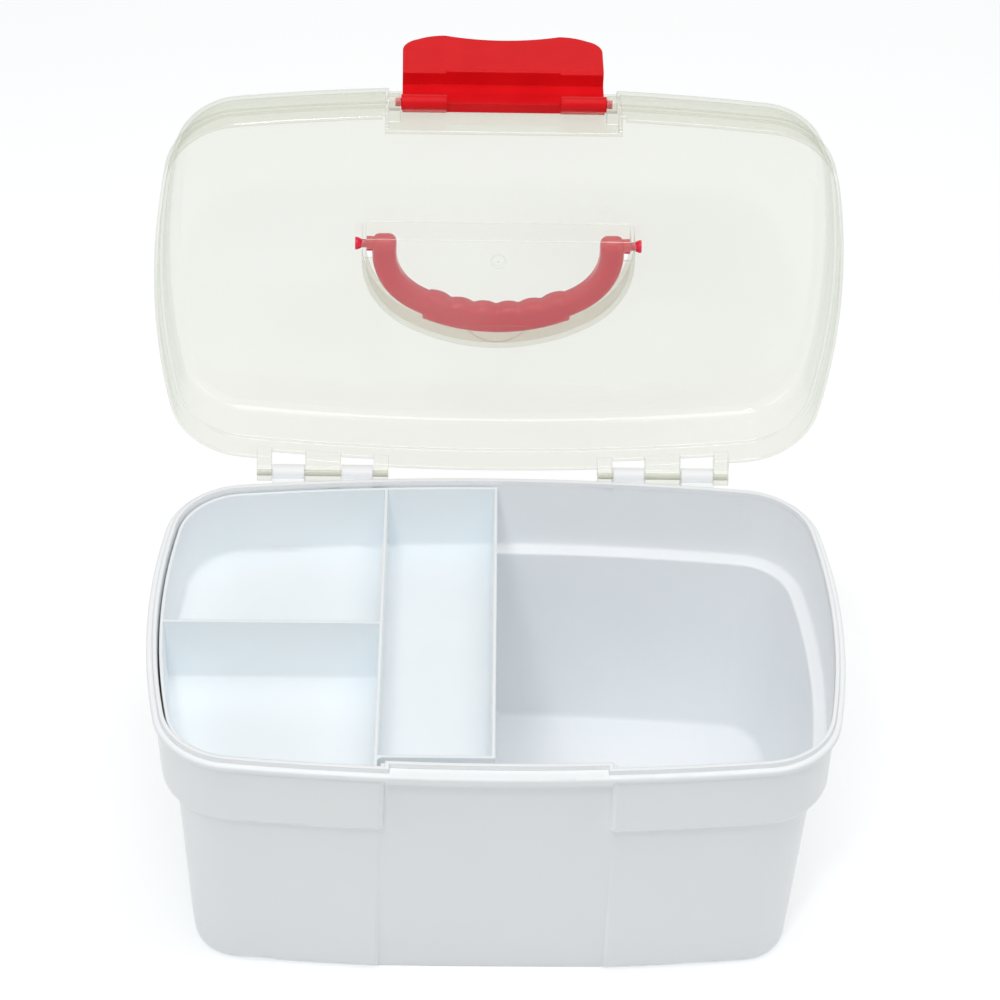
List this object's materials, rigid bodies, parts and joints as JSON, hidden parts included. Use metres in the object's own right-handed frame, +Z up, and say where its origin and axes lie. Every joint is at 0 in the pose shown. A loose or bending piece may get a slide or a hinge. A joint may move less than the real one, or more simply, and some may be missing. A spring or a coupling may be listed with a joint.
{
  "type": "first aid box",
  "caption": "Lidded plastic first aid case with a clear hinged lid, fold-down carry handle, snap latch, open deep side and a lift-out sorting tray.",
  "frame": {"origin": "centre of the tub's underside, where the box stands", "axes": "+X to the right, -Y to the front where the latch closes, +Z up; the lid is hinged along the rear and stands open at rest"},
  "size_m": [0.33, 0.2866, 0.3591],
  "materials": {
    "tub_plastic": "white moulded polypropylene, smooth with a soft shine",
    "tray_plastic": "cool white moulded polypropylene, smooth with a soft shine",
    "lid_plastic": "milky clear moulded polypropylene that shows what lies behind it",
    "handle_plastic": "red moulded polypropylene, smooth",
    "latch_plastic": "red moulded polypropylene, smooth",
    "pin_plastic": "natural plastic rod"
  },
  "bodies": {
    "tub": {"base_tub": "tub_plastic", "hinge_pin_left": "pin_plastic", "hinge_pin_right": "pin_plastic"},
    "tray": {"organiser_tray": "tray_plastic"},
    "lid": {"lid_shell": "lid_plastic"},
    "handle": {"carry_handle": "handle_plastic"},
    "latch": {"front_latch": "latch_plastic"}
  },
  "joints": [
    {"name": "lid_hinge", "type": "hinge", "parent": "tub", "child": "lid", "pos_m": [0, 0.1065, 0.1486], "axis": [1, 0, 0], "range_deg": [0, 93]},
    {"name": "latch_pivot", "type": "hinge", "parent": "lid", "child": "latch", "pos_m": [0, 0.13124, 0.35509], "axis": [1, 0, 0], "range_deg": [0, 177]},
    {"name": "handle_pivot", "type": "hinge", "parent": "lid", "child": "handle", "pos_m": [0, 0.1396, 0.26613], "axis": [1, 0, 0], "range_deg": [-3, 92]},
    {"name": "tray_lift", "type": "slide", "parent": "tub", "child": "tray", "axis": [0, 0, 1], "range_m": [0, 0.017]}
  ]
}
